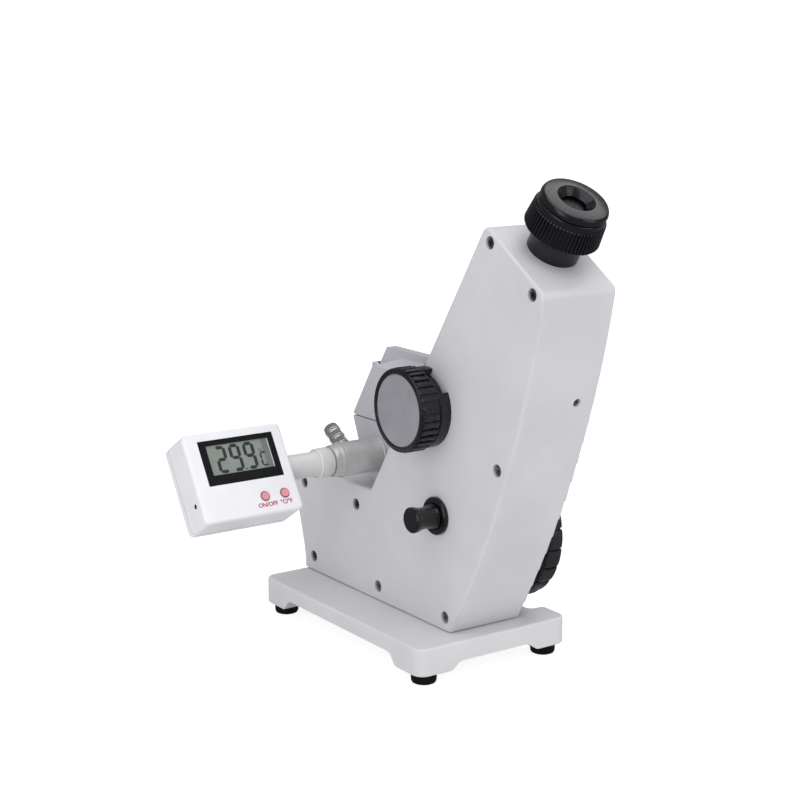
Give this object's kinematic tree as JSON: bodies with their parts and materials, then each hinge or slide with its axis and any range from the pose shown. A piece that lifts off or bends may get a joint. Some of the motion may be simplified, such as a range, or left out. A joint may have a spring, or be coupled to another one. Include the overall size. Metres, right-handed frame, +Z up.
{
  "type": "bench refractometer",
  "caption": "Bench-top optical refractometer: hinged prism seats, eyepiece, dispersion and index handwheels, and a digital thermometer head on a stem.",
  "frame": {"origin": "on the table plane, under the middle of the whole object's bounding box", "axes": "+X to the operator's right, -Y towards the operator, +Z up"},
  "size_m": [0.1636, 0.2137, 0.2364],
  "materials": {
    "housing_paint": "smooth light grey enamel",
    "base_paint": "smooth pale grey enamel",
    "foot_rubber": "moulded black rubber",
    "screw_steel": "zinc plated",
    "black_anodised": "black anodised",
    "optical_glass": "polished optical glass",
    "black_plastic": "moulded black plastic",
    "disc_grey": "satin grey disc",
    "satin_metal": "fine turned satin",
    "shaft_steel": "ground steel",
    "bush_brass": "turned brass",
    "front_mirror": "silvered glass",
    "shield_metal": "dark enamel",
    "nipple_chrome": "bright chrome",
    "white_plastic": "glossy white plastic",
    "bezel_plastic": "glossy black plastic",
    "lcd_glass": "grey-green display glass",
    "board_green": "fibre-glass board",
    "cell_steel": "nickel plated",
    "button_pink": "moulded pink rubbery plastic"
  },
  "bodies": {
    "frame": {"base_casting": "base_paint", "base_feet": "foot_rubber", "base_screws": "screw_steel", "housing_casting": "housing_paint", "cover_plate": "housing_paint", "cover_screws": "screw_steel", "telescope_tube": "black_anodised", "objective_lens": "optical_glass", "reticle_plate": "optical_glass", "eyepiece_neck": "black_anodised", "compensator_barrel": "black_anodised", "dispersion_bush": "bush_brass", "dispersion_shroud": "black_plastic", "index_bush": "bush_brass", "condenser_flange": "black_plastic", "prism_mount": "housing_paint", "refracting_prism_seat": "housing_paint", "refracting_prism": "optical_glass", "hinge_pin": "shaft_steel", "thermometer_seat": "satin_metal", "seat_nipples": "nipple_chrome", "gland_nut": "satin_metal"},
    "eyepiece": {"eyepiece_ring": "black_plastic", "eyepiece_cap": "black_plastic", "eye_lens": "optical_glass", "field_lens": "optical_glass"},
    "lower_prism_cell": {"lower_amici_cell": "black_anodised", "lower_amici_prism": "optical_glass"},
    "upper_prism_cell": {"upper_amici_cell": "black_anodised", "upper_amici_prism": "optical_glass"},
    "dispersion_wheel": {"dispersion_knob": "black_plastic", "knob_disc": "disc_grey", "dispersion_scale_ring": "satin_metal", "dispersion_shaft": "shaft_steel"},
    "index_wheel": {"index_handwheel": "black_plastic", "index_shaft": "shaft_steel", "scale_dial": "optical_glass"},
    "mirror": {"mirror_holder": "black_anodised", "swing_mirror": "front_mirror"},
    "condenser": {"condenser_knob": "black_plastic", "condenser_lens": "optical_glass"},
    "calibrator": {"calibration_screw": "bush_brass"},
    "upper_seat": {"entering_prism_seat": "housing_paint", "entering_prism": "optical_glass", "upper_connectors": "nipple_chrome"},
    "shield": {"light_shield": "shield_metal"},
    "reflector": {"reflector_flap": "front_mirror"},
    "prism_lock": {"lock_hook": "black_anodised", "lock_knob": "black_plastic"},
    "thermometer": {"probe_ferrule": "white_plastic", "stem_tube": "white_plastic", "probe_stem": "shaft_steel", "display_case_front": "white_plastic", "display_case_back": "white_plastic", "display_bezel": "bezel_plastic", "lcd_panel": "lcd_glass", "circuit_board": "board_green", "button_cell": "cell_steel"},
    "power_key": {"power_button": "button_pink"},
    "unit_key": {"unit_button": "button_pink"}
  },
  "joints": [
    {"name": "eyepiece_focus", "type": "hinge", "parent": "frame", "child": "eyepiece", "pos_m": [0.04295, -0.02427, 0.12102], "axis": [0, -0.5464, 0.8375], "range_deg": [-180, 180]},
    {"name": "dispersion_turn", "type": "hinge", "parent": "frame", "child": "dispersion_wheel", "pos_m": [0.01335, -0.01757, 0.12611], "axis": [1, 0, 0], "continuous": true},
    {"name": "lower_cell_turn", "type": "hinge", "parent": "frame", "child": "lower_prism_cell", "pos_m": [0.04295, -0.02427, 0.12102], "axis": [0, -0.5464, 0.8375], "continuous": true},
    {"name": "upper_cell_turn", "type": "hinge", "parent": "frame", "child": "upper_prism_cell", "pos_m": [0.04295, -0.02427, 0.12102], "axis": [0, -0.5464, 0.8375], "continuous": true},
    {"name": "index_turn", "type": "hinge", "parent": "frame", "child": "index_wheel", "pos_m": [0.06235, -0.0215, 0.062], "axis": [1, 0, 0], "range_deg": [-120, 120]},
    {"name": "mirror_swing", "type": "hinge", "parent": "frame", "child": "mirror", "pos_m": [0.04295, 0.00102, 0.08224], "axis": [1, 0, 0], "range_deg": [-8, 8]},
    {"name": "condenser_turn", "type": "hinge", "parent": "frame", "child": "condenser", "pos_m": [0.01735, -0.026, 0.0748], "axis": [1, 0, 0], "continuous": true},
    {"name": "calibration_turn", "type": "hinge", "parent": "frame", "child": "calibrator", "pos_m": [0.04985, -0.08927, 0.1365], "axis": [0, -0.958, -0.2868], "range_deg": [-180, 180]},
    {"name": "upper_seat_hinge", "type": "hinge", "parent": "frame", "child": "upper_seat", "pos_m": [0.04165, -0.00419, 0.14093], "axis": [1, 0, 0], "range_deg": [0, 90]},
    {"name": "shield_hinge", "type": "hinge", "parent": "upper_seat", "child": "shield", "pos_m": [0.04165, 0.04158, 0.13593], "axis": [1, 0, 0], "range_deg": [0, 100]},
    {"name": "reflector_hinge", "type": "hinge", "parent": "frame", "child": "reflector", "pos_m": [0.04165, 0.04974, 0.08527], "axis": [-1, 0, 0], "range_deg": [0, 60]},
    {"name": "lock_turn", "type": "hinge", "parent": "frame", "child": "prism_lock", "pos_m": [0.05735, 0.044, 0.1015], "axis": [1, 0, 0], "range_deg": [-75, 0]},
    {"name": "thermometer_turn", "type": "hinge", "parent": "frame", "child": "thermometer", "pos_m": [-0.01265, 0.0353, 0.0917], "axis": [1, 0, 0], "continuous": true},
    {"name": "power_press", "type": "slide", "parent": "thermometer", "child": "power_key", "axis": [0, 0.849, -0.5284], "range_m": [0, 0.001], "stiffness_N_per_m": 300, "springref_m": -0.0005},
    {"name": "unit_press", "type": "slide", "parent": "thermometer", "child": "unit_key", "axis": [0, 0.849, -0.5284], "range_m": [0, 0.001], "stiffness_N_per_m": 300, "springref_m": -0.0005}
  ],
  "couplings": [
    {"joint": "lower_cell_turn", "follows": "dispersion_turn", "ratio": -0.5974},
    {"joint": "upper_cell_turn", "follows": "dispersion_turn", "ratio": 0.5974},
    {"joint": "mirror_swing", "follows": "index_turn", "ratio": 0.06}
  ]
}
